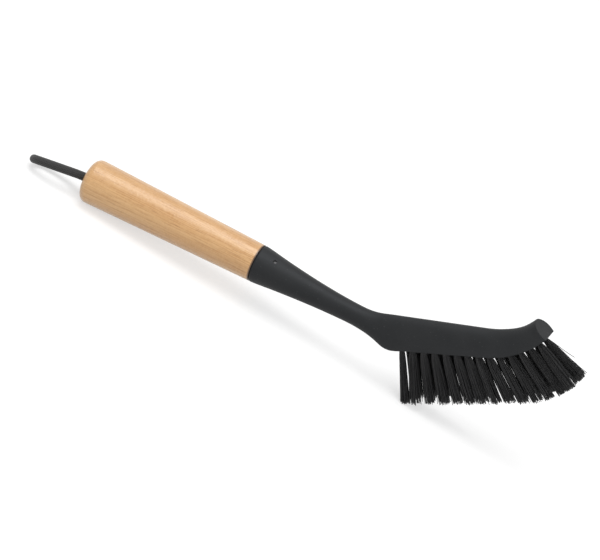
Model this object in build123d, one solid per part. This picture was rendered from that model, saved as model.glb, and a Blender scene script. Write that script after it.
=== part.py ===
from build123d import *
from math import asin, atan2, ceil, cos, degrees, hypot, pi, radians, sin, sqrt, tan
import os

# Dish brush: a turned wooden handle with a moulded head on a tenon, a nail
# through the collar, 29 bristle tufts stapled into blind holes and a hanging
# cord glued into the butt. Millimetres. The pieces are drawn in the frame of
# the handle: X runs along the handle's axis from the collar's rim towards the
# head, Z is up, Y is across, and the bristles point down. At the end all of
# them are turned together into the pose in which the brush rests on a counter.

# Handle
handle_length = 98.0
butt_diameter = 23.6
shoulder_diameter = 19.6
butt_round = 4.0
tenon_diameter = 11.6
tenon_length = 18.0
tenon_bevel = 0.8

# Collar and neck of the head
socket_clearance = 0.08
socket_end_gap = 0.5
rim_bevel_length = 1.1
rim_bevel_depth = 0.5
band_length = 4.0
band_taper = 0.3
neck_length = 56.0
waist_diameter = 10.75
waist_drop = 1.15
flare_power = 1.65
section_pitch = 7.5

# Bristle block of the head: its underside is a straight and an arc
bend_length = 24.0
heel_reach = neck_length + bend_length
heel_drop = 7.6
block_angle = 24.0
flat_length = 49.2
tip_radius = 52.0
tip_turn_angle = 39.1
heel_width = 12.7
tip_width = 13.8
heel_height = 16.8
tip_height = 10.5
saddle_depth = 0.55
saddle_setback = 11.0
saddle_half_length = 15.0

# Bend between neck and block: lengths of the handles of its two edge curves
underside_lead = 15.0
underside_arrival = 5.0
crown_lead = 8.5
crown_arrival = 4.5
crown_angle = 20.3
crown_dip_depth = 0.35
bend_section_shares = (0.25, 0.5, 0.75)

# Section of the block, as shares of its half width and of its height, from
# the middle of the underside round the right side to the crown
round_corner_angles = (-50.0, -35.0, 12.0, 90.0)
corner_shares = ((0.88, 0.0), (0.92, 0.0), (0.945, 0.02), (0.955, 0.05))
flank_shares = ((0.955, 0.05), (0.975, 0.11), (1.0, 0.2), (1.0, 0.3))
crown_shares = ((1.0, 0.3), (1.0, 0.64), (0.52, 1.0), (0.0, 1.0))
base_shares = (-1.0, -1 / 3, 1 / 3, 1.0)

# Tufts
row_count = 14
row_pitch = 5.66
column_spacing = 7.4
column_splay_angle = 2.0
tip_setback = 3.1
tip_lead = 2.0
rear_lean_angle = 23.5
front_lean_angle = 62.0
tip_lean_angle = 66.5
rear_free_length = 28.2
trim_angle = 29.4
trim_flat_length = 64.0
trim_radius = 46.2
trim_sweep_angle = 70.0
trim_steps = 10

# One tuft
hole_diameter = 2.9
hole_depth = 5.4
root_diameter = 2.7
root_rise = 0.4
strand_count = 15
strand_thickness = 0.42
strand_sides = 3
root_spread_radius = 1.12
end_spread_radius = 2.45
strand_length = 36.0
golden_angle = 137.508
rest_flat_depth = 0.5

# Staple plate over which a tuft is folded
anchor_width = 2.3
anchor_depth = 1.6
anchor_thickness = 0.35
anchor_clearance = 0.05

# Nail through the collar
nail_distance = 9.75
nail_angle = 61.5
nail_shank_diameter = 1.1
nail_length = 7.0
nail_head_diameter = 1.7
nail_head_thickness = 0.5
nail_recess = 0.55
nail_clearance = 0.05

# Hanging cord, a loop seen edge on from the side
cord_diameter = 4.5
cord_slot_depth = 5.0
cord_clearance = 0.1
cord_leg_length = 3.0
cord_leg_offset = 2.35
loop_twist_angle = 27.4
loop_droop_angle = 7.8

# Route of one half of the loop past the end of its straight leg: distance out
# and distance from the loop's middle line
loop_half_route = (
    (7.6, 5.2),
    (15.8, 5.9),
    (24.2, 5.4),
    (28.0, 2.3),
)

overrun = 2.0


def bristle_face(distance):
    """Point on the underside and its slope, at a distance from the heel."""
    slope = radians(block_angle)
    if distance <= flat_length:
        x = heel_reach + distance * cos(slope)
        z = -heel_drop + distance * sin(slope)
        return x, z, block_angle
    turned = (distance - flat_length) / tip_radius
    x = heel_reach + flat_length * cos(slope) + tip_radius * (sin(slope + turned) - sin(slope))
    z = -heel_drop + flat_length * sin(slope) + tip_radius * (cos(slope) - cos(slope + turned))
    return x, z, block_angle + degrees(turned)


face_length = flat_length + tip_radius * radians(tip_turn_angle)


def block_height(distance):
    """Height over the underside: an even taper, with a shallow saddle before the tip."""
    taper = heel_height + (tip_height - heel_height) * distance / face_length
    offset = (distance - face_length + saddle_setback) / saddle_half_length
    return taper - saddle_depth * max(0, 1 - offset * offset) ** 2


def block_half_width(distance):
    return (heel_width + (tip_width - heel_width) * distance / face_length) / 2


def evenly(start, end):
    """Stations past a start up to an end, about a section's pitch apart."""
    count = ceil((end - start) / section_pitch)
    return [start + (end - start) * (index + 1) / count for index in range(count)]


def square_up(x, z, slope, length):
    """Point at a length from a point, square to a slope, on its upper side."""
    return x - length * sin(radians(slope)), z + length * cos(radians(slope))


def cubic(p0, p1, p2, p3, t):
    weights = ((1 - t) ** 3, 3 * t * (1 - t) ** 2, 3 * t * t * (1 - t), t ** 3)
    points = (p0, p1, p2, p3)
    return tuple(sum(w * p[axis] for w, p in zip(weights, points)) for axis in (0, 1))


def along(point, slope, length):
    return point[0] + length * cos(radians(slope)), point[1] + length * sin(radians(slope))


# Section of the head, from a circle in the neck to the block's rounded arch

def round_controls(start, end):
    """Controls of an arc of the unit circle, as shares of half width and height."""
    reach = 4 / 3 * tan(radians(end - start) / 4)
    a, b = radians(start), radians(end)
    points = (
        (cos(a), sin(a)),
        (cos(a) - reach * sin(a), sin(a) + reach * cos(a)),
        (cos(b) + reach * sin(b), sin(b) - reach * cos(b)),
        (cos(b), sin(b)),
    )
    return [(y, (1 + z) / 2) for y, z in points]


def head_section(bottom, top, half_width, blockness):
    """Face across the head through its bottom and top points."""
    height = hypot(top[0] - bottom[0], top[1] - bottom[1])
    up = ((top[0] - bottom[0]) / height, (top[1] - bottom[1]) / height)
    turns = round_corner_angles
    pairs = [
        (round_controls(turns[0], turns[1]), corner_shares),
        (round_controls(turns[1], turns[2]), flank_shares),
        (round_controls(turns[2], turns[3]), crown_shares),
    ]
    right = []
    for circle, block in pairs:
        right.append([
            tuple(c + (b - c) * blockness for c, b in zip(pair[0], pair[1]))
            for pair in zip(circle, block)
        ])
    left = [[(-y, z) for y, z in reversed(curve)] for curve in reversed(right)]
    base_round = round_controls(-180 - turns[0], turns[0])
    half_base = corner_shares[0][0]
    base = []
    for (y, z), share in zip(base_round, base_shares):
        flat_y = half_base * share
        base.append((y + (flat_y - y) * blockness, z * (1 - blockness)))
    edges = []
    for curve in [base] + right + left:
        points = []
        for y, z in curve:
            rise = z * height
            points.append((bottom[0] + rise * up[0], y * half_width, bottom[1] + rise * up[1]))
        edges.append(Bezier(*points))
    return Face(Wire(edges))


def neck_section(station):
    """Round section of the collar and the neck, square to the handle's axis."""
    radius, middle = neck_radius(station), neck_middle(station)
    return head_section((station, middle - radius), (station, middle + radius), radius, 0)


def neck_middle(station):
    """Height of the neck's middle line, which sags towards the waist."""
    share = station / neck_length
    return -waist_drop * share * (3 - share) / 2


def neck_radius(station):
    rim_radius = shoulder_diameter / 2
    if station <= band_length:
        return rim_radius - band_taper * (station / band_length) ** 2
    left_over = 1 - (station - band_length) / (neck_length - band_length)
    waist_radius = waist_diameter / 2
    return waist_radius + (rim_radius - band_taper - waist_radius) * left_over ** flare_power


def bend_sections():
    """Sections that turn the round neck into the block."""
    waist_radius = waist_diameter / 2
    low_start = (neck_length, -waist_drop - waist_radius)
    high_start = (neck_length, -waist_drop + waist_radius)
    low_end = (heel_reach, -heel_drop)
    high_end = square_up(heel_reach, -heel_drop, block_angle, heel_height)
    low = (low_start, (low_start[0] + underside_lead, low_start[1] - crown_dip_depth),
           along(low_end, block_angle, -underside_arrival), low_end)
    high = (high_start, (high_start[0] + crown_lead, high_start[1] - crown_dip_depth),
            along(high_end, crown_angle, -crown_arrival), high_end)
    faces = []
    for share in bend_section_shares:
        eased = share * share * (3 - 2 * share)
        half_width = waist_radius + (block_half_width(0) - waist_radius) * eased
        faces.append(head_section(cubic(*low, share), cubic(*high, share), half_width, eased))
    return faces


def block_section(distance):
    x, z, slope = bristle_face(distance)
    top = square_up(x, z, slope, block_height(distance))
    return head_section((x, z), top, block_half_width(distance), 1)


# Places and directions of the tufts

def tuft_place(row, side):
    """Plane at a tuft's mouth, its Z along the bristles. Row 14 is the tip tuft."""
    if row < row_count:
        distance = face_length - tip_setback - tip_lead - row_pitch * (row_count - 1 - row)
        lean = rear_lean_angle + (front_lean_angle - rear_lean_angle) * row / (row_count - 1)
    else:
        distance = face_length - tip_setback
        lean = tip_lean_angle
    x, z, slope = bristle_face(distance)
    splay = radians(column_splay_angle * side)
    tilt = radians(lean)
    direction = Vector(sin(tilt) * cos(splay), sin(splay), -cos(tilt) * cos(splay))
    return Plane(origin=(x, side * column_spacing / 2, z), x_dir=(0, 1, 0), z_dir=direction)


tuft_rows = range(row_count)
right_places = {row: tuft_place(row, -1) for row in tuft_rows}
tip_place = tuft_place(row_count, 0)


def trim_line():
    """Rear start of the trimmed bristle ends: where the first row's axis ends."""
    start = right_places[0].origin
    lean = radians(rear_lean_angle)
    return start.X + rear_free_length * sin(lean), start.Z - rear_free_length * cos(lean)


def strand_axes(place):
    """Foot and direction of each strand of a tuft, spread as a sunflower fills a disc."""
    axes = []
    for index in range(strand_count):
        reach = sqrt((index + 0.5) / strand_count)
        turn = radians(golden_angle * index)
        aside = place.x_dir * (reach * cos(turn)) + place.y_dir * (reach * sin(turn))
        foot = place.origin + aside * root_spread_radius + place.z_dir * (root_rise - strand_thickness)
        way = aside * (end_spread_radius - root_spread_radius) + place.z_dir * strand_length
        axes.append((foot, way))
    return axes


def lowest_end():
    """Where the lowest strand of the first row meets the trimmed line."""
    x, z = trim_line()
    rise, run = sin(radians(trim_angle)), cos(radians(trim_angle))
    ends = []
    for foot, way in strand_axes(right_places[0]):
        reach = ((x - foot.X) * rise - (z - foot.Z) * run) / (way.X * rise - way.Z * run)
        ends.append(foot + way * reach)
    lowest = min(ends, key=lambda end: end.Z)
    return lowest.X, lowest.Z


# The counter touches the butt's rounded edge and the first row of tufts

def rest_line():
    """A point on the counter's line, and the line's slope in the handle's frame."""
    round_x = -handle_length + butt_round
    round_z = -butt_diameter / 2 + butt_round
    end_x, end_z = lowest_end()
    end_z += rest_flat_depth
    reach = hypot(end_x - round_x, end_z - round_z)
    slope = atan2(end_z - round_z, end_x - round_x) + asin(butt_round / reach)
    return (end_x, end_z), degrees(slope)


rest_point, rest_slope = rest_line()


def trim_tool():
    """Everything past the trimmed ends and below the counter, to cut tufts with."""
    start = trim_line()
    corner = along(start, trim_angle, trim_flat_length)
    slope, counter = radians(trim_angle), radians(rest_slope)
    gap_x, gap_z = start[0] - rest_point[0], start[1] - rest_point[1]
    # from the rest point along the counter to where it meets the trimmed line
    to_meet = (gap_x * sin(slope) - gap_z * cos(slope)) / sin(slope - counter)
    meet = along(rest_point, rest_slope, to_meet)
    far_left = along(rest_point, rest_slope, -heel_reach)
    centre = square_up(corner[0], corner[1], trim_angle, trim_radius)
    curve = []
    for step in range(trim_steps):
        turn = radians(trim_angle + trim_sweep_angle * (step + 1) / trim_steps)
        curve.append((centre[0] + trim_radius * sin(turn), centre[1] - trim_radius * cos(turn)))
    low = far_left[1] - heel_reach
    right = curve[-1][0] + heel_reach
    sides = [(right, curve[-1][1]), (right, low), (far_left[0], low)]
    with BuildSketch(Plane.XZ) as profile:
        with BuildLine():
            Polyline(far_left, meet, corner, *curve, *sides, close=True)
        make_face()
    return extrude(profile.sketch, amount=tip_width + column_spacing, both=True)


# Pieces

def wood_handle():
    butt_radius, shoulder_radius = butt_diameter / 2, shoulder_diameter / 2
    tenon_radius = tenon_diameter / 2
    with BuildSketch(Plane.XZ) as profile:
        with BuildLine():
            Polyline(
                (-handle_length, 0),
                (-handle_length, butt_radius),
                (0, shoulder_radius),
                (0, tenon_radius),
                (tenon_length, tenon_radius),
                (tenon_length, 0),
                close=True,
            )
        make_face()
        butt_corner = profile.vertices().sort_by(Axis.X)[:2].sort_by(Axis.Y)[-1]
        fillet(butt_corner, butt_round)
        tenon_corner = profile.vertices().sort_by(Axis.X)[-2:].sort_by(Axis.Y)[-1]
        chamfer(tenon_corner, tenon_bevel)
    body = revolve(profile.sketch, Axis.X)
    mouth = Plane(origin=(-handle_length, 0, 0), x_dir=loop_across(), z_dir=(1, 0, 0))
    slot_height = cord_diameter + 2 * cord_clearance
    slot = mouth * SlotCenterToCenter(2 * cord_leg_offset, slot_height)
    body -= extrude(slot, amount=cord_slot_depth)
    return body - nail_hole()


def brush_head():
    stations = [0, band_length] + evenly(band_length, neck_length)
    faces = [neck_section(station) for station in stations]
    faces += bend_sections()
    faces += [block_section(distance) for distance in [0] + evenly(0, face_length)]
    head = loft(faces)
    head -= rim_cutter()
    socket_radius = tenon_diameter / 2 + socket_clearance
    socket = Plane.YZ * Circle(socket_radius)
    head -= extrude(socket, amount=tenon_length + socket_end_gap)
    holes = []
    for place in all_places():
        mouth = place.offset(root_rise + overrun)
        holes.append(extrude(mouth * Circle(hole_diameter / 2), amount=-(hole_depth + root_rise + overrun)))
    head -= holes
    return head - nail_hole()


def rim_cutter():
    """Ring that bevels the collar's outer rim."""
    rim_radius = shoulder_diameter / 2
    lift = overrun * rim_bevel_depth / rim_bevel_length
    foot = rim_radius - rim_bevel_depth
    with BuildSketch(Plane.XZ) as profile:
        with BuildLine():
            Polyline((-overrun, foot - lift), (overrun, foot + lift), (-overrun, foot + lift), close=True)
        make_face()
    return revolve(profile.sketch, Axis.X)


def nail_place():
    """Plane at the nail's head, its Z pointing out of the collar."""
    lift = radians(nail_angle)
    outward = Vector(0, -cos(lift), sin(lift))
    radius = neck_radius(nail_distance) - nail_recess
    middle = Vector(nail_distance, 0, neck_middle(nail_distance))
    return Plane(origin=middle + outward * radius, x_dir=(1, 0, 0), z_dir=outward)


def nail_solid(clearance, above):
    """The nail, or with a clearance and a length above it, the hole for it."""
    place = nail_place()
    head_radius = nail_head_diameter / 2 + clearance
    shank_radius = nail_shank_diameter / 2 + clearance
    head = extrude(place.offset(above) * Circle(head_radius),
                   amount=-(above + nail_head_thickness + clearance))
    shank = extrude(place * Circle(shank_radius), amount=-(nail_length + clearance))
    return head + shank


def fixing_nail():
    return nail_solid(0, 0)


def nail_hole():
    return nail_solid(nail_clearance, nail_recess + overrun)


def all_places():
    """Every tuft's place: right column, left column, tip."""
    left = [tuft_place(row, 1) for row in tuft_rows]
    return list(right_places.values()) + left + [tip_place]


def staple(place, clearance):
    """Plate across the bottom of a tuft's hole."""
    deepest = place.offset(-hole_depth)
    plate = Box(anchor_width + 2 * clearance, anchor_thickness + 2 * clearance, anchor_depth + clearance,
                align=(Align.CENTER, Align.CENTER, Align.MIN))
    return deepest * plate


def tuft(place, cutter):
    """Folded root, its strands and the slot where its staple plate holds it."""
    root_length = hole_depth - anchor_clearance + root_rise
    root = extrude(place.offset(root_rise) * Circle(root_diameter / 2), amount=-root_length)
    strands = []
    for foot, way in strand_axes(place):
        outline = Plane(origin=foot, x_dir=place.x_dir, z_dir=place.z_dir) * RegularPolygon(
            strand_thickness / 2, strand_sides)
        strands.append(Solid.extrude(outline.face(), way))
    grown = root.solid().fuse(*strands)
    return grown - staple(place, anchor_clearance) - cutter


def loop_across():
    """Direction from the loop's middle line to its near leg."""
    return Vector(0, -cos(radians(loop_twist_angle)), sin(radians(loop_twist_angle)))


def loop_route():
    """Points of the cord's route, from one glued end round to the other."""
    across = loop_across()
    droop = radians(loop_droop_angle)
    outward = Vector(-cos(droop), 0, -sin(droop))
    inner = Vector(-handle_length + cord_slot_depth, 0, 0)
    leg_end = Vector(-handle_length - cord_leg_length, 0, 0)
    near = [inner + across * cord_leg_offset, leg_end + across * cord_leg_offset]
    near += [leg_end + outward * out + across * half for out, half in loop_half_route]
    far = [leg_end + outward * out - across * half for out, half in reversed(loop_half_route)]
    far += [leg_end - across * cord_leg_offset, inner - across * cord_leg_offset]
    return near + far


def route_radii(points):
    """Largest arcs that the runs allow at each point but the ends."""
    radii = []
    for before, at, after in zip(points, points[1:], points[2:]):
        run_in, run_out = at - before, after - at
        half_turn = radians(run_in.get_angle(run_out)) / 2
        radii.append(0.45 * min(run_in.length, run_out.length) / tan(half_turn))
    return radii


def hanging_cord():
    points = loop_route()
    radii = route_radii(points)
    path = FilletPolyline(*points, radius=radii)
    start = Plane(origin=path @ 0, z_dir=path % 0)
    tube = sweep(start * Circle(cord_diameter / 2), path=path)
    section = pi * cord_diameter ** 2 / 4
    volume_share = tube.volume / (section * path.length)
    print("cord arc radii", [round(radius, 1) for radius in radii])
    print("cord length", round(path.length, 1), "volume share", round(volume_share, 4))
    return tube


def make_pieces():
    """Every node's shape in the handle's frame."""
    cutter = trim_tool()
    pieces = {
        "wood_handle": wood_handle(),
        "brush_head": brush_head(),
        "fixing_nail": fixing_nail(),
        "hanging_cord": hanging_cord(),
        "staple_plates": Compound([staple(place, 0).solid() for place in all_places()]),
    }
    for row, place in right_places.items():
        right = tuft(place, cutter)
        pieces[f"tuft_{row + 1:02d}_right"] = right
        pieces[f"tuft_{row + 1:02d}_left"] = mirror(right, about=Plane.XZ)
    pieces["tuft_tip"] = tuft(tip_place, cutter)
    return pieces


def stand_on_counter(pieces):
    """Turn the brush into its rest pose, the origin under the middle of its box."""
    turn = Rotation(0, rest_slope, 0)
    turned = {name: turn * piece for name, piece in pieces.items()}
    stiff = [piece.solid() for name, piece in turned.items() if name in ("wood_handle", "brush_head")]
    stiff += [piece.solid() for name, piece in turned.items() if name.startswith("tuft")]
    box = Compound(stiff).bounding_box()
    middle = box.center()
    shift = Pos(-middle.X, -middle.Y, -box.min.Z)
    return {name: shift * piece for name, piece in turned.items()}


os.makedirs("parts", exist_ok=True)
for name, piece in stand_on_counter(make_pieces()).items():
    export_step(piece, f"parts/{name}.step")
    print(name, "solids", len(piece.solids()), "volume", round(piece.volume, 1))
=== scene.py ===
# %% [markdown]
# Dish brush. A turned wooden handle carries a dark moulded head, which bends
# away from the handle and holds 29 tufts of black bristles, and a cord loop
# comes out of the handle's butt. The solids of the wood, the plastic and the
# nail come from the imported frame. This script makes what a solid leaves out:
# the filaments of each tuft, the cord's braid, and the finish of every surface.

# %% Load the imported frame
import bpy
import math
import numpy as np
from mathutils import Matrix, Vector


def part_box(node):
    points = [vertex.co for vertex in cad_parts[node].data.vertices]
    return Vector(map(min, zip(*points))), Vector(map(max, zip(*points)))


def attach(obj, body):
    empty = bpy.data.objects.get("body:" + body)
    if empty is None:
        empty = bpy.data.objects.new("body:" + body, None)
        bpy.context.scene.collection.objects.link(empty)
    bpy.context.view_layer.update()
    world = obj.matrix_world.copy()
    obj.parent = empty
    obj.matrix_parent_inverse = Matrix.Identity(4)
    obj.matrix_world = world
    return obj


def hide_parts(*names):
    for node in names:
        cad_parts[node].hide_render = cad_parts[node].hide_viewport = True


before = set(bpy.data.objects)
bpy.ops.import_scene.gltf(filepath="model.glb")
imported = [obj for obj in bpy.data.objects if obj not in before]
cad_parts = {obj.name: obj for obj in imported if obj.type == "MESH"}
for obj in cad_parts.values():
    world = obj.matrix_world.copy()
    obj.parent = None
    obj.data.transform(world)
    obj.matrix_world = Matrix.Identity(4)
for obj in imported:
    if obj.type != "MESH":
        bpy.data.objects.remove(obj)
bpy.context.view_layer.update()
print("nodes in the frame:", len(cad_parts))

# %% [markdown]
# The brush rests on its butt and on its first tufts, so its handle is tilted in
# the frame. Every size is easier to read in the handle's own frame: X runs along
# the handle from the collar's rim, Z is up, and both are in millimetres. One
# helper turns such points into metres in the frame.

# %% The handle's own frame
MM = 0.001
handle_tilt = math.radians(5.884)
collar_rim = np.array([-35.74, 0.0, 21.395])
along_handle = np.array([math.cos(handle_tilt), 0.0, math.sin(handle_tilt)])
above_handle = np.array([-math.sin(handle_tilt), 0.0, math.cos(handle_tilt)])


def turn_to_frame(vectors):
    """Directions or offsets from the handle's frame: x along it plus z above it, y unchanged."""
    vectors = np.asarray(vectors, dtype=float)
    turned = vectors[..., :1] * along_handle + vectors[..., 2:] * above_handle
    turned[..., 1] = vectors[..., 1]
    return turned


def place_in_frame(points):
    """Points of the handle's frame in mm, turned, moved to the collar's rim, in metres."""
    return (turn_to_frame(points) + collar_rim) * MM


butt_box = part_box("wood_handle")
print("butt at x =", round(place_in_frame([[-98.0, 0.0, 0.0]])[0][0], 4), "box from", round(butt_box[0][0], 4))

# %% [markdown]
# The camera looks down on the brush from its right side, from far away, with a
# long lens, so the picture has hardly any perspective. It is rolled, which is
# why the handle runs down across the frame although the brush lies on a table.

# %% Camera at the photograph's angle
camera_azimuth = math.radians(10.50)
camera_elevation = math.radians(29.46)
camera_roll = math.radians(26.59)
camera_distance = 1.4938
camera_target = np.array([-0.01232, 0.0, 0.02613])
lens_length, sensor_width = 180.0, 36.0


def camera_axes(azimuth, elevation, roll):
    """Right, up and backward axes: level axes for that direction, turned about the view by the roll."""
    back = np.array([
        math.sin(azimuth) * math.cos(elevation),
        -math.cos(azimuth) * math.cos(elevation),
        math.sin(elevation),
    ])
    level_right = np.array([math.cos(azimuth), math.sin(azimuth), 0.0])
    level_up = np.cross(back, level_right)
    right = level_right * math.cos(roll) + level_up * math.sin(roll)
    return right, np.cross(back, right), back


right, up, back = camera_axes(camera_azimuth, camera_elevation, camera_roll)
camera_data = bpy.data.cameras.new("camera")
camera_data.lens, camera_data.sensor_width = lens_length, sensor_width
camera = bpy.data.objects.new("camera", camera_data)
bpy.context.scene.collection.objects.link(camera)
pose = np.eye(4)
pose[:3, 0], pose[:3, 1], pose[:3, 2] = right, up, back
pose[:3, 3] = camera_target + back * camera_distance
camera.matrix_world = Matrix(pose.tolist())
bpy.context.scene.camera = camera
print("camera at", np.round(pose[:3, 3], 3))

# %% [markdown]
# Grids of points become meshes in one way throughout: a tube is a stack of rings
# with the same number of points, so its faces follow from counting. All points
# and faces are written at once, which keeps over two thousand filaments quick.

# %% Tubes from rings of points


def ring_faces(ring_count, side_count):
    """Quads between neighbouring rings, each point joined to the next round the ring and along the tube."""
    ring, side = np.meshgrid(np.arange(ring_count - 1), np.arange(side_count), indexing="ij")
    following = (side + 1) % side_count
    start = ring * side_count
    return np.stack([start + side, start + following, start + side_count + following, start + side_count + side],
                    axis=-1).reshape(-1, 4)


def tube_mesh(name, tubes):
    """Mesh of many closed tubes of one layout: tubes x rings x sides x 3 points, in metres."""
    tube_count, ring_count, side_count, _ = tubes.shape
    size = ring_count * side_count
    offsets = np.arange(tube_count)[:, None, None] * size
    quads = (ring_faces(ring_count, side_count)[None] + offsets).reshape(-1, 4)
    first = (np.arange(side_count)[::-1][None, None] + offsets).reshape(-1, side_count)
    last = (np.arange(size - side_count, size)[None, None] + offsets).reshape(-1, side_count)
    faces = quads.tolist() + first.tolist() + last.tolist()
    mesh = bpy.data.meshes.new(name)
    mesh.from_pydata(tubes.reshape(-1, 3), [], faces)
    mesh.update()
    mesh.shade_smooth()
    caps = np.zeros(len(faces), dtype=bool)
    caps[len(quads):] = True
    sharp = mesh.attributes.get("sharp_face") or mesh.attributes.new("sharp_face", "BOOLEAN", "FACE")
    sharp.data.foreach_set("value", caps)
    return mesh


def add_piece(name, mesh, material_slot, *nodes):
    """Object of a mesh, riding on the brush's only body, that stands for some CAD nodes."""
    piece = bpy.data.objects.new(name, mesh)
    bpy.context.scene.collection.objects.link(piece)
    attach(piece, "root")
    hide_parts(*nodes)
    return piece


# %% [markdown]
# The hanging cord is limp and only as long as its loop, so its route is the
# loop: both ends glued side by side into the butt, straight out of it, then
# bulging a little and back. The loop is twisted on the handle's axis, so from
# the camera's side it is seen edge on, as one straight dark bar.

# %% Route of the hanging cord
loop_twist, loop_droop = math.radians(27.4), math.radians(7.8)
leg_offset = 2.35
across = np.array([0.0, -math.cos(loop_twist), math.sin(loop_twist)])
outward = np.array([-math.cos(loop_droop), 0.0, -math.sin(loop_droop)])
inner_end, leg_end = np.array([-93.0, 0.0, 0.0]), np.array([-101.0, 0.0, 0.0])
half_loop = [(7.6, 5.2), (15.8, 5.9), (24.2, 5.4), (28.0, 2.3)]
route = [inner_end + across * leg_offset, leg_end + across * leg_offset]
route += [leg_end + outward * out + across * half for out, half in half_loop]
route += [leg_end + outward * out - across * half for out, half in reversed(half_loop)]
route += [leg_end - across * leg_offset, inner_end - across * leg_offset]
route_points = place_in_frame(route)

route_curve = bpy.data.curves.new("cord_route", "CURVE")
route_curve.dimensions = "3D"
spline = route_curve.splines.new("NURBS")
spline.points.add(len(route_points) - 1)
for control, point in zip(spline.points, route_points):
    control.co = (*point, 1.0)
spline.order_u = 3
spline.use_endpoint_u = True
spline.resolution_u = 24
route_object = bpy.data.objects.new("cord_route", route_curve)
route_mesh = bpy.data.meshes.new_from_object(route_object)
cord_path = np.zeros(len(route_mesh.vertices) * 3)
route_mesh.vertices.foreach_get("co", cord_path)
cord_path = cord_path.reshape(-1, 3)
bpy.data.objects.remove(route_object)
bpy.data.meshes.remove(route_mesh)
path_steps = np.linalg.norm(np.diff(cord_path, axis=0), axis=1)
cord_length = float(path_steps.sum())
print("cord length", round(cord_length, 4), "m over", len(cord_path), "points")

# %% [markdown]
# The cord is a round braid of twelve carriers each way, which pass over and
# under each other. Its surface is a tube whose radius rises on each strand's
# ridge and drops where the strand dives under the other family. A mesh carries
# this better than a bump, because the outline of a 4.5 mm cord shows it.

# %% Braided cord
cord_radius = 2.25
braid_relief = 0.13
crown_height, crossing_change = 0.68, 0.32
strands_each_way, stitch_ratio = 12, 1.3
ring_pitch, cord_sides = 0.17, 96


def braid_height(turn, advance):
    """Height from 0 to 1: the higher of two families of rounded ridges, each lifted at every second crossing."""
    one_way, other_way = turn + advance, turn - advance
    over = np.cos(math.pi * (np.floor(one_way) + np.floor(other_way)))
    ridge_one = np.sin(math.pi * np.mod(one_way, 1.0)) * (crown_height + crossing_change * over)
    ridge_other = np.sin(math.pi * np.mod(other_way, 1.0)) * (crown_height - crossing_change * over)
    return np.maximum(ridge_one, ridge_other)


station = np.concatenate([[0.0], np.cumsum(path_steps)])
ring_count = int(round(cord_length / MM / ring_pitch))
even_station = np.linspace(0.0, cord_length, ring_count)
centre = np.stack([np.interp(even_station, station, cord_path[:, axis]) for axis in range(3)], axis=1)
tangent = np.gradient(centre, axis=0)
tangent /= np.linalg.norm(tangent, axis=1, keepdims=True)
loop_normal = turn_to_frame(np.cross(across, outward))
sideways = np.cross(loop_normal, tangent)
sideways /= np.linalg.norm(sideways, axis=1, keepdims=True)
lifted = np.cross(tangent, sideways)
angle = np.linspace(0.0, 2 * math.pi, cord_sides, endpoint=False)
turn_share = angle[None] / (2 * math.pi) * strands_each_way
strand_width = 2 * math.pi * cord_radius / strands_each_way
advance_share = even_station[:, None] / MM / (stitch_ratio * strand_width)
relief = braid_relief * (1.0 - braid_height(turn_share, advance_share))
ring_radius = (cord_radius - relief)[..., None] * MM
rings = centre[:, None] + ring_radius * (
    np.cos(angle)[None, :, None] * sideways[:, None] + np.sin(angle)[None, :, None] * lifted[:, None])
cord_mesh = tube_mesh("hanging_cord_braid", rings[None])
yarn = cord_mesh.attributes.new("yarn", "FLOAT_VECTOR", "POINT")
yarn_share = np.stack([np.broadcast_to(turn_share, relief.shape), np.broadcast_to(advance_share, relief.shape),
                       1.0 - relief / braid_relief], axis=-1)
yarn.data.foreach_set("vector", yarn_share.reshape(-1))
cord_piece = add_piece("hanging_cord_braid", cord_mesh, "cord_cotton", "hanging_cord")
print("braid:", ring_count, "rings of", cord_sides, "points")

# %% [markdown]
# The bristle face of the head is a straight and then an arc, and the tufts stand
# on it in two columns of fourteen with one more at the tip. They lean forward
# more and more towards the tip. These are the numbers of the solid model, so
# each tuft grows out of its own blind hole.

# %% Places of the tufts
block_angle, flat_length, tip_arc, tip_turn = 24.0, 49.2, 52.0, 39.1
heel = np.array([80.0, 0.0, -7.6])
face_length = flat_length + tip_arc * math.radians(tip_turn)
row_count, row_pitch, column_spacing = 14, 5.66, 7.4
tip_margin, tip_gap = 3.1, 2.0
rear_lean, front_lean, tip_lean, column_splay = 23.5, 62.0, 66.5, 2.0


def on_bristle_face(distance):
    """Point at a distance from the heel: along the straight, then along the arc that follows it."""
    slope = math.radians(block_angle)
    straight = min(distance, flat_length)
    turned = slope + max(0.0, distance - flat_length) / tip_arc
    return heel + np.array([
        straight * math.cos(slope) + tip_arc * (math.sin(turned) - math.sin(slope)),
        0.0,
        straight * math.sin(slope) + tip_arc * (math.cos(slope) - math.cos(turned)),
    ])


def tuft_axes(row, side):
    """A tuft's mouth, its direction, and two directions across it, of which the first lies along its staple."""
    at_tip = row == row_count
    distance = face_length - tip_margin - (0.0 if at_tip else tip_gap + row_pitch * (row_count - 1 - row))
    lean = math.radians(tip_lean if at_tip else rear_lean + (front_lean - rear_lean) * row / (row_count - 1))
    splay = math.radians(column_splay * side)
    mouth = on_bristle_face(distance) + np.array([0.0, side * column_spacing / 2, 0.0])
    direction = np.array([math.sin(lean) * math.cos(splay), math.sin(splay), -math.cos(lean) * math.cos(splay)])
    along_staple = np.array([0.0, 1.0, 0.0]) - direction * direction[1]
    along_staple /= np.linalg.norm(along_staple)
    return mouth, direction, along_staple, np.cross(direction, along_staple)


print("tip tuft at", np.round(tuft_axes(row_count, 0)[0], 1), "mm from the collar's rim")

# %% [markdown]
# After filling, the tufts are trimmed together by a machine: straight under
# most of the head, and on an arc round the tip. The ends still differ by some
# tenths of a millimetre, and a few filaments that slipped in the fold stay
# short. The first tufts also stop at the counter, on which they stand.

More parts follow.
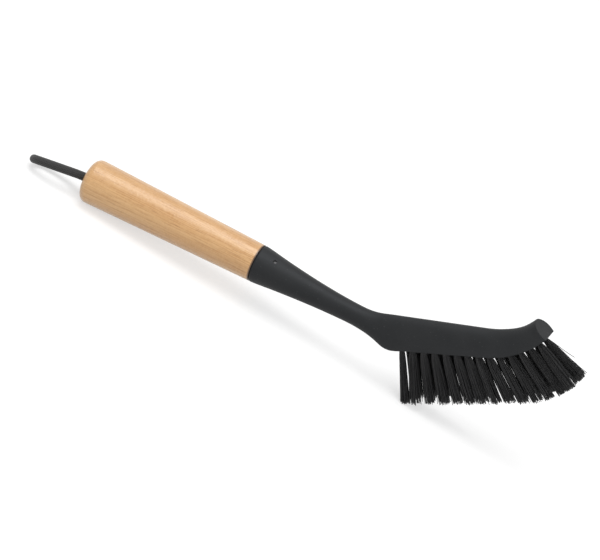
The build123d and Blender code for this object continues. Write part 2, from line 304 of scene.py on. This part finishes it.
# %% Trimmed length of each filament
trim_angle, trim_straight, trim_arc = math.radians(29.4), 64.0, 46.2
trim_start = np.array([96.733, 0.0, -31.018])
trim_along = np.array([math.cos(trim_angle), 0.0, math.sin(trim_angle)])
trim_up = np.array([-math.sin(trim_angle), 0.0, math.cos(trim_angle)])
trim_centre = trim_start + trim_along * trim_straight + trim_up * trim_arc


def trimmed_reach(feet, ways):
    """Distance at which each filament meets the trimmed surface: its straight, or past that its arc."""
    to_line = ((trim_start - feet) @ trim_up) / (ways @ trim_up)
    along_line = (feet + ways * to_line[:, None] - trim_start) @ trim_along
    flat_feet, flat_ways = feet * [1, 0, 1], ways * [1, 0, 1]
    gap = flat_feet - trim_centre * [1, 0, 1]
    speed = (flat_ways ** 2).sum(axis=1)
    middle = -(gap * flat_ways).sum(axis=1) / speed
    inside = trim_arc ** 2 - (gap ** 2).sum(axis=1) + speed * middle ** 2
    to_arc = middle + np.sqrt(np.maximum(inside, 0.0) / speed)
    return np.where(along_line < trim_straight, to_line, to_arc)


def share_above_counter(feet, ends, clearance):
    """Share of each filament, foot to end, that stays a clearance above the counter."""
    foot_height = (turn_to_frame(feet) + collar_rim)[:, 2]
    end_height = (turn_to_frame(ends) + collar_rim)[:, 2]
    return np.clip((foot_height - clearance) / np.maximum(foot_height - end_height, 1e-6), 0.0, 1.0)


# %% [markdown]
# A tuft is one bundle of nylon filaments, folded over a staple plate at the
# bottom of its hole. They fill the hole as seeds fill a sunflower, pass on both
# sides of the plate, and spring apart just past the hole's mouth, because the
# fold was pressed in tight. Each one bows its own way, and a few stray from the
# bundle, which gives the ends their ragged look. Some folds are tighter than
# others, and their tufts stay slim, so light shows in slits between them. The
# tip tuft has two bent strays on top. Lengths are in millimetres, and a change,
# an error or a bow is the standard deviation of a random draw.

# %% Filaments of one tuft
filament_count, filament_radius, filament_sides = 84, 0.15, 5
hole_bottom, root_radius, spring_length, fan_slope = 5.2, 1.14, 3.4, 0.020
usual_flare, flare_change, tilt_change, staple_turn = 1.22, 0.09, 0.014, 0.012
packing_error, tilt_lever, counter_gap = 0.05, 4.0, 0.25
trim_excess, trim_change, slipped_share, slips = 0.35, 0.7, 0.08, (0.8, 3.0)
usual_bow, stray_share, stray_bow = 0.34, 0.11, 0.85
tip_stray_lengths, tip_stray_bows = (19.0, 16.0), ((-0.5, 1.5), (0.4, 2.1))
fold_width, plate_gap, fold_thickness = 1.05, 0.34, 0.72
# (row, side): (flare, tilt forward) of the tufts that are tighter than usual
tight_tufts = {(0, -1): (0.50, 0.0), (0, 1): (0.0, 0.06), (6, 1): (0.10, 0.02), (7, 1): (0.10, 0.02),
               (8, 1): (0.12, 0.04), (9, -1): (0.95, 0.0), (11, -1): (0.80, 0.0), (11, 1): (0.12, -0.06),
               (12, -1): (0.90, 0.02), (13, 1): (0.70, 0.0)}
golden_turn = math.radians(137.508)
heights = np.array([0.0, 0.06, 0.15, 0.3, 0.5, 0.7, 0.86, 1.0])


def tuft_radius(distance, flare):
    """Radius of the bundle: the hole's, plus a flare that settles exponentially, plus an even fan."""
    return root_radius + flare * (1.0 - np.exp(-distance / spring_length)) + fan_slope * distance


def tuft_tubes(row, side, seed):
    """Filaments x rings x sides x 3 points: mouth + way x distance + spread x radius + bow x share squared."""
    draw = np.random.default_rng(seed)
    mouth, direction, along_staple, across_staple = tuft_axes(row, side)
    usual = draw.normal(usual_flare, flare_change), draw.normal(0, tilt_change)
    flare, forward = tight_tufts.get((row, side), usual)
    direction = direction + along_staple * draw.normal(0, staple_turn) + across_staple * forward
    mouth = mouth + across_staple * forward * tilt_lever
    order = np.arange(filament_count)
    reach = np.sqrt((order + 0.5) / filament_count)
    turn = golden_turn * order + draw.uniform(0, 2 * math.pi)
    spot = np.stack([reach * np.cos(turn), reach * np.sin(turn)], axis=1)
    spot = spot + draw.normal(0, packing_error, (filament_count, 2))
    spot /= np.maximum(1.0, np.linalg.norm(spot, axis=1))[:, None]
    spread = spot[:, :1] * along_staple + spot[:, 1:] * across_staple
    length = trimmed_reach(mouth + spread * (root_radius + flare), direction + spread * fan_slope)
    length += trim_excess - np.abs(draw.normal(0, trim_change, filament_count))
    slipped = draw.random(filament_count) < slipped_share
    length -= np.where(slipped, draw.uniform(*slips, filament_count), 0.0)
    aside = draw.normal(0, usual_bow, (filament_count, 2))
    strays = draw.random(filament_count) < stray_share
    aside += np.where(strays[:, None], draw.normal(0, stray_bow, (filament_count, 2)), 0.0)
    if row == row_count:
        topmost = np.argsort(spot[:, 1])[-2:]
        length[topmost], aside[topmost] = tip_stray_lengths, tip_stray_bows
    bow = aside[:, :1] * along_staple + aside[:, 1:] * across_staple
    feet = mouth + spread * root_radius
    ends = feet + direction * length[:, None] + spread * (flare + fan_slope * length[:, None]) + bow
    kept = share_above_counter(feet, ends, counter_gap + filament_radius)
    shares = heights[None, :, None] * kept[:, None, None]
    distance = length[:, None, None] * shares
    axis = mouth + direction * distance + spread[:, None] * tuft_radius(distance, flare) + bow[:, None] * shares ** 2
    pushed = np.sign(spot[:, 1:]) * (plate_gap + fold_thickness * np.abs(spot[:, 1:]))
    inside = mouth + spot[:, :1] * along_staple * fold_width + pushed * across_staple - direction * hole_bottom
    axis = np.concatenate([inside[:, None], axis], axis=1)
    corner = np.linspace(0, 2 * math.pi, filament_sides, endpoint=False)
    circle = np.cos(corner)[:, None] * along_staple + np.sin(corner)[:, None] * across_staple
    return axis[:, :, None] + circle[None, None] * filament_radius


example_count, example_rings = tuft_tubes(5, -1, 5).shape[:2]
print("one tuft:", example_count, "filaments,", example_count * (example_rings - 1) * filament_sides, "quads")

# %% [markdown]
# Each tuft is a piece of its own, as on the real brush, and stands for the CAD
# tuft in the same hole. Every filament also carries one number between 0 and 1,
# from which its material takes a slightly different shade.

# %% The 29 tufts
tuft_names = [(f"tuft_{row + 1:02d}_{name}", row, side) for row in range(row_count)
              for name, side in (("right", -1), ("left", 1))]
tuft_names.append(("tuft_tip", row_count, 0))
tuft_pieces = []
for seed, (node_name, row, side) in enumerate(tuft_names):
    tubes = place_in_frame(tuft_tubes(row, side, seed + 11))
    mesh = tube_mesh(node_name + "_filaments", tubes)
    shade = mesh.attributes.new("shade", "FLOAT", "POINT")
    per_filament = np.random.default_rng(seed + 211).random(filament_count)
    shade.data.foreach_set("value", np.repeat(per_filament, tubes.shape[1] * tubes.shape[2]))
    tuft_pieces.append(add_piece(node_name + "_filaments", mesh, "bristle_nylon", node_name))
print("tufts:", len(tuft_pieces), "filaments:", len(tuft_pieces) * filament_count)

# %% [markdown]
# Materials are built from nodes only. Textures read the object's own
# coordinates, so nothing slides when the brush is turned, and their sizes are
# given in metres of the real thing.

# %% Helpers for materials


def start_material(name, **values):
    """New material with its Principled shader, constant values set on the shader's own sockets."""
    material = bpy.data.materials.new(name)
    material.use_nodes = True
    shader = material.node_tree.nodes["Principled BSDF"]
    for socket, value in values.items():
        shader.inputs[socket.replace("_", " ")].default_value = value
    return material, material.node_tree, shader


def add_node(tree, kind, inputs=None, **settings):
    """Adds a node: settings are its own attributes, inputs are values or the sockets that feed it."""
    made = tree.nodes.new(kind)
    for name, value in settings.items():
        setattr(made, name, value)
    for name, value in (inputs or {}).items():
        if isinstance(value, bpy.types.NodeSocket):
            tree.links.new(value, made.inputs[name])
        else:
            made.inputs[name].default_value = value
    return made


def grain_space(tree, sizes, shift=(0.0, 0.0, 0.0)):
    """Coordinates that run along the tilted handle, counted in features of the given sizes in mm."""
    coordinates = add_node(tree, "ShaderNodeTexCoord")
    mapping = add_node(tree, "ShaderNodeMapping", {"Vector": coordinates.outputs["Object"]}, vector_type="TEXTURE")
    mapping.inputs["Location"].default_value = [value * MM for value in shift]
    mapping.inputs["Rotation"].default_value = (0.0, -handle_tilt, 0.0)
    mapping.inputs["Scale"].default_value = [size * MM for size in sizes]
    return mapping.outputs["Vector"]


def noise(tree, space, detail=3.0, roughness=0.5, distortion=0.0):
    """Smooth noise with features about one unit of the given space across."""
    made = add_node(tree, "ShaderNodeTexNoise", {
        "Vector": space, "Scale": 1.0, "Detail": detail, "Roughness": roughness, "Distortion": distortion})
    return made.outputs["Fac"]


def to_range(tree, value, low, high, new_low, new_high):
    """Stretches low..high to new_low..new_high, clamped, along a smooth step."""
    made = add_node(tree, "ShaderNodeMapRange", {
        "Value": value, "From Min": low, "From Max": high, "To Min": new_low, "To Max": new_high},
        interpolation_type="SMOOTHSTEP")
    return made.outputs["Result"]


def blend_colors(tree, factor, first, second, blend_type="MIX"):
    """Mix of two colours by a factor, both colours given as values or sockets."""
    made = add_node(tree, "ShaderNodeMix", data_type="RGBA", blend_type=blend_type)
    for socket, value in ((made.inputs[0], factor), (made.inputs[6], first), (made.inputs[7], second)):
        if isinstance(value, bpy.types.NodeSocket):
            tree.links.new(value, socket)
        else:
            socket.default_value = value
    return made.outputs[2]


def add_bump(tree, shader, height, distance_mm, strength=1.0):
    """Bump of a real depth in mm on the shader's normal."""
    made = add_node(tree, "ShaderNodeBump", {"Height": height, "Distance": distance_mm * MM, "Strength": strength})
    tree.links.new(made.outputs["Normal"], shader.inputs["Normal"])
    return made


# %% [markdown]
# The handle is a pale diffuse-porous wood, turned, sanded and oiled. Its fibres
# run along the axis: broad bands of tone, fine streaks, and short dark flecks
# where rays and pores are cut. All of these are noises in a space stretched
# along the handle, so the butt's face shows them end on, as real wood does. A
# fine ripple from sanding lies in the oil film and breaks its highlight up. The
# end grain at the joint with the collar is painted dark: partly its own darker
# edge, partly painted shade in the gap at the collar.

# %% Wood
pale_wood, warm_wood = (0.690, 0.418, 0.186, 1.0), (0.595, 0.330, 0.130, 1.0)
streak_brown, fleck_brown = (0.455, 0.216, 0.064, 1.0), (0.330, 0.140, 0.038, 1.0)
# The dark colour for the collar joint is partly the wood's darker end grain and partly painted shade in the gap.
rubbed_crest, stained_and_shaded_end = (0.78, 0.52, 0.27, 1.0), (0.060, 0.024, 0.008, 1.0)
wood, tree, shader = start_material("oiled_wood", Roughness=0.42, Coat_Weight=0.75, Coat_Roughness=0.24)
bands = noise(tree, grain_space(tree, (60.0, 4.2, 6.0)), detail=2.0, distortion=0.3)
streaks = noise(tree, grain_space(tree, (34.0, 0.60, 0.60), (3.0, 1.0, 2.0)), detail=4.0, roughness=0.66)
patches = noise(tree, grain_space(tree, (34.0, 5.0, 5.0), (9.0, 2.0, 5.0)), detail=1.0)
flecks = noise(tree, grain_space(tree, (10.0, 0.36, 0.36), (1.0, 4.0, 2.0)), detail=1.0)
ripple = noise(tree, grain_space(tree, (1.1, 1.7, 1.7), (7.0, 3.0, 1.0)), detail=2.0, roughness=0.6)
tone = blend_colors(tree, to_range(tree, bands, 0.34, 0.66, 0.0, 1.0), pale_wood, warm_wood)
tone = blend_colors(tree, to_range(tree, streaks, 0.44, 0.68, 0.0, 0.75), tone, streak_brown)
fleck_share = add_node(tree, "ShaderNodeMath", {
    0: to_range(tree, flecks, 0.60, 0.74, 0.0, 0.75), 1: to_range(tree, patches, 0.42, 0.62, 0.1, 1.0)},
    operation="MULTIPLY").outputs["Value"]
tone = blend_colors(tree, fleck_share, tone, fleck_brown)
tone = blend_colors(tree, to_range(tree, ripple, 0.35, 0.65, 0.0, 0.14), tone, rubbed_crest)
# Painted shade: the dark band at the collar joint is partly the wood's darker end and partly painted shade in the
# gap.
from_collar = add_node(tree, "ShaderNodeSeparateXYZ", {"Vector": grain_space(tree, (1.0, 1.0, 1.0), collar_rim)})
joint_stain_and_shade = to_range(tree, from_collar.outputs["X"], -0.9, -0.25, 0.0, 0.9)
tone = blend_colors(tree, joint_stain_and_shade, tone, stained_and_shaded_end)
tree.links.new(tone, shader.inputs["Base Color"])
tree.links.new(to_range(tree, streaks, 0.3, 0.7, 0.36, 0.50), shader.inputs["Roughness"])
fine_relief = add_node(tree, "ShaderNodeBump", {"Height": ripple, "Distance": 0.20 * MM, "Strength": 1.0})
fibre_relief = add_bump(tree, shader, streaks, 0.03, 0.4)
tree.links.new(fine_relief.outputs["Normal"], fibre_relief.inputs["Normal"])
tree.links.new(fine_relief.outputs["Normal"], shader.inputs["Coat Normal"])
print("wood nodes:", len(tree.nodes))

# %% [markdown]
# The head is moulded in one piece of charcoal plastic. The mould was lightly
# eroded, which leaves a fine grain and a soft sheen. Handling adds faint pale
# specks and hairline scuffs, which the photograph shows on the flank.

# %% Head plastic
charcoal, lighter_charcoal, pale_speck = (
    (0.0100, 0.0102, 0.0106, 1.0), (0.0130, 0.0132, 0.0136, 1.0), (0.09, 0.09, 0.09, 1.0))
plastic, tree, shader = start_material("moulded_plastic", Roughness=0.48, Specular_IOR_Level=0.27,
                                       Specular_Tint=(0.90, 0.95, 1.0, 1.0))
cloud = noise(tree, grain_space(tree, (14.0, 9.0, 9.0)), detail=2.0)
grain = noise(tree, grain_space(tree, (0.42, 0.42, 0.42)), detail=3.0, roughness=0.6)
specks = noise(tree, grain_space(tree, (0.55, 0.55, 0.55), (5.0, 2.0, 1.0)), detail=0.0)
scuffs = noise(tree, grain_space(tree, (9.0, 0.25, 2.4), (2.0, 7.0, 1.0)), detail=1.0, distortion=0.8)
shade_of_plastic = blend_colors(tree, to_range(tree, cloud, 0.3, 0.7, 0.0, 1.0), charcoal, lighter_charcoal)
shade_of_plastic = blend_colors(tree, to_range(tree, specks, 0.80, 0.86, 0.0, 0.5), shade_of_plastic, pale_speck)
tree.links.new(shade_of_plastic, shader.inputs["Base Color"])
tree.links.new(to_range(tree, scuffs, 0.60, 0.78, 0.54, 0.42), shader.inputs["Roughness"])
grain_bump = add_bump(tree, shader, grain, 0.025, 0.6)
edge = add_node(tree, "ShaderNodeBevel", {"Radius": 0.6 * MM}, samples=6)
tree.links.new(edge.outputs["Normal"], grain_bump.inputs["Normal"])

# %% [markdown]
# Nylon filaments are smooth, almost black and satin. Each takes its own shade,
# so that a tuft reads as many threads and not as one block.

# %% Bristles
darkest_nylon, palest_nylon, nylon_dust = (
    (0.0055, 0.0055, 0.006, 1.0), (0.016, 0.016, 0.017, 1.0), (0.03, 0.03, 0.031, 1.0))
nylon, tree, shader = start_material("bristle_nylon", Roughness=0.42, Specular_IOR_Level=0.30)
own_shade = add_node(tree, "ShaderNodeAttribute", attribute_name="shade").outputs["Fac"]
dust = noise(tree, grain_space(tree, (1.6, 1.6, 1.6)), detail=2.0)
filament_color = blend_colors(tree, own_shade, darkest_nylon, palest_nylon)
filament_color = blend_colors(tree, to_range(tree, dust, 0.58, 0.8, 0.0, 0.35), filament_color, nylon_dust)
tree.links.new(filament_color, shader.inputs["Base Color"])
tree.links.new(to_range(tree, own_shade, 0.0, 1.0, 0.28, 0.42), shader.inputs["Roughness"])
add_bump(tree, shader, dust, 0.01, 0.4)

# %% [markdown]
# The cord is cotton, dyed dark grey. The braid's own relief drives its colour: the
# grooves between the strands are darker as painted shade, and fine yarns run
# along each strand.

# %% Cord fabric
# The grooves' darker grey is painted shade in the braid's recesses.
shaded_groove_grey, crown_grey, loose_fibre = (
    (0.018, 0.018, 0.0185, 1.0), (0.046, 0.0455, 0.045, 1.0), (0.075, 0.073, 0.070, 1.0))
cotton, tree, shader = start_material("cord_cotton", Roughness=0.92, Sheen_Weight=0.35, Sheen_Roughness=0.5,
                                      Specular_IOR_Level=0.2)
yarn_node = add_node(tree, "ShaderNodeAttribute", attribute_name="yarn")
parts_of_yarn = add_node(tree, "ShaderNodeSeparateXYZ", {"Vector": yarn_node.outputs["Vector"]})
crown = parts_of_yarn.outputs["Z"]
fibre = noise(tree, grain_space(tree, (0.5, 0.22, 0.22)), detail=4.0, roughness=0.7)
# Painted shade: the colour darkens from crown to groove with the braid's relief.
fabric = blend_colors(tree, to_range(tree, crown, 0.1, 0.95, 0.0, 1.0), shaded_groove_grey, crown_grey)
fabric = blend_colors(tree, to_range(tree, fibre, 0.45, 0.75, 0.0, 0.6), fabric, loose_fibre)
tree.links.new(fabric, shader.inputs["Base Color"])
add_bump(tree, shader, fibre, 0.08, 0.8)

# %% [markdown]
# The nail's head and the staple plates are darkened steel wire and strip, with
# fine drawing marks. Only the nail's head shows, sunk into the collar.

# %% Steel
dark_steel, bright_steel = (0.030, 0.030, 0.031, 1.0), (0.090, 0.089, 0.090, 1.0)
steel, tree, shader = start_material("drawn_steel", Metallic=1.0, Roughness=0.38)
marks = noise(tree, grain_space(tree, (0.9, 0.06, 0.06)), detail=3.0)
tree.links.new(blend_colors(tree, marks, dark_steel, bright_steel), shader.inputs["Base Color"])
tree.links.new(to_range(tree, marks, 0.3, 0.7, 0.30, 0.48), shader.inputs["Roughness"])
add_bump(tree, shader, marks, 0.01, 0.5)

# %% [markdown]
# Every piece and every solid gets its material. The solids keep their meshes.

# %% Put the materials on


def dress(piece, material):
    """Gives all of a piece's material slots one material."""
    if not piece.data.materials:
        piece.data.materials.append(material)
    for slot in piece.material_slots:
        slot.material = material


for node_name, material in (("wood_handle", wood), ("brush_head", plastic), ("fixing_nail", steel),
                            ("staple_plates", steel)):
    dress(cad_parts[node_name], material)
dress(cord_piece, cotton)
for piece in tuft_pieces:
    dress(piece, nylon)
print("materials:", len(bpy.data.materials))

# %% [markdown]
# The photograph was taken on a white sweep in soft light. A wide plain floor
# takes the soft shadow. One large lamp above gives the handle and the neck their
# highlight, another in front lights the head's end face, and the world fills the
# rest. Floor and world are whiter for the rays that see them than for those that
# light the object, so the background is white at a plain level of light.

# %% Floor and light


def strength_when_seen(tree, indirect, seen):
    """One strength for the rays that light the object, another for the camera, reflections and glass."""
    kinds = add_node(tree, "ShaderNodeLightPath").outputs
    direct = kinds["Is Camera Ray"]
    for kind in ("Is Glossy Ray", "Is Transmission Ray"):
        direct = add_node(tree, "ShaderNodeMath", {0: direct, 1: kinds[kind]}, operation="MAXIMUM").outputs["Value"]
    return to_range(tree, direct, 0.0, 1.0, indirect, seen)


floor_half = 3.0
floor_glow, world_fill = 0.56, 0.54
floor_mesh = bpy.data.meshes.new("floor")
floor_mesh.from_pydata([(-floor_half, -floor_half, 0), (floor_half, -floor_half, 0), (floor_half, floor_half, 0),
                        (-floor_half, floor_half, 0)], [], [(0, 1, 2, 3)])
floor = bpy.data.objects.new("floor", floor_mesh)
bpy.context.scene.collection.objects.link(floor)
floor_material, tree, shader = start_material("white_floor", Base_Color=(0.50, 0.50, 0.50, 1.0), Roughness=0.9,
                                              Specular_IOR_Level=0.1, Emission_Color=(1.0, 1.0, 1.0, 1.0))
tree.links.new(strength_when_seen(tree, 0.0, floor_glow), shader.inputs["Emission Strength"])
dress(floor, floor_material)


def add_lamp(name, place, target, size, power):
    """Square area light at a place, turned so that it shines on a target."""
    data = bpy.data.lights.new(name, "AREA")
    data.size, data.energy = size, power
    lamp = bpy.data.objects.new(name, data)
    bpy.context.scene.collection.objects.link(lamp)
    away = np.array(place, dtype=float) - np.array(target, dtype=float)
    away /= np.linalg.norm(away)
    level = np.cross([0.0, 0.0, 1.0], away)
    level = level / np.linalg.norm(level) if np.linalg.norm(level) > 1e-6 else np.array([1.0, 0.0, 0.0])
    turn = np.eye(4)
    turn[:3, 0], turn[:3, 1], turn[:3, 2] = level, np.cross(away, level), away
    turn[:3, 3] = place
    lamp.matrix_world = Matrix(turn.tolist())
    return lamp


brush_middle = (0.0, 0.0, 0.03)
add_lamp("top", (-0.24, -0.12, 1.38), brush_middle, 1.0, 11.5)
add_lamp("front", (0.95, -1.25, 0.85), brush_middle, 1.0, 9.0)
world = bpy.data.worlds.new("studio")
bpy.context.scene.world = world
world.use_nodes = True
background = world.node_tree.nodes["Background"]
background.inputs["Color"].default_value = (1.0, 1.0, 1.0, 1.0)
world.node_tree.links.new(strength_when_seen(world.node_tree, world_fill, 1.0), background.inputs["Strength"])
bpy.context.scene.view_settings.view_transform = "Standard"
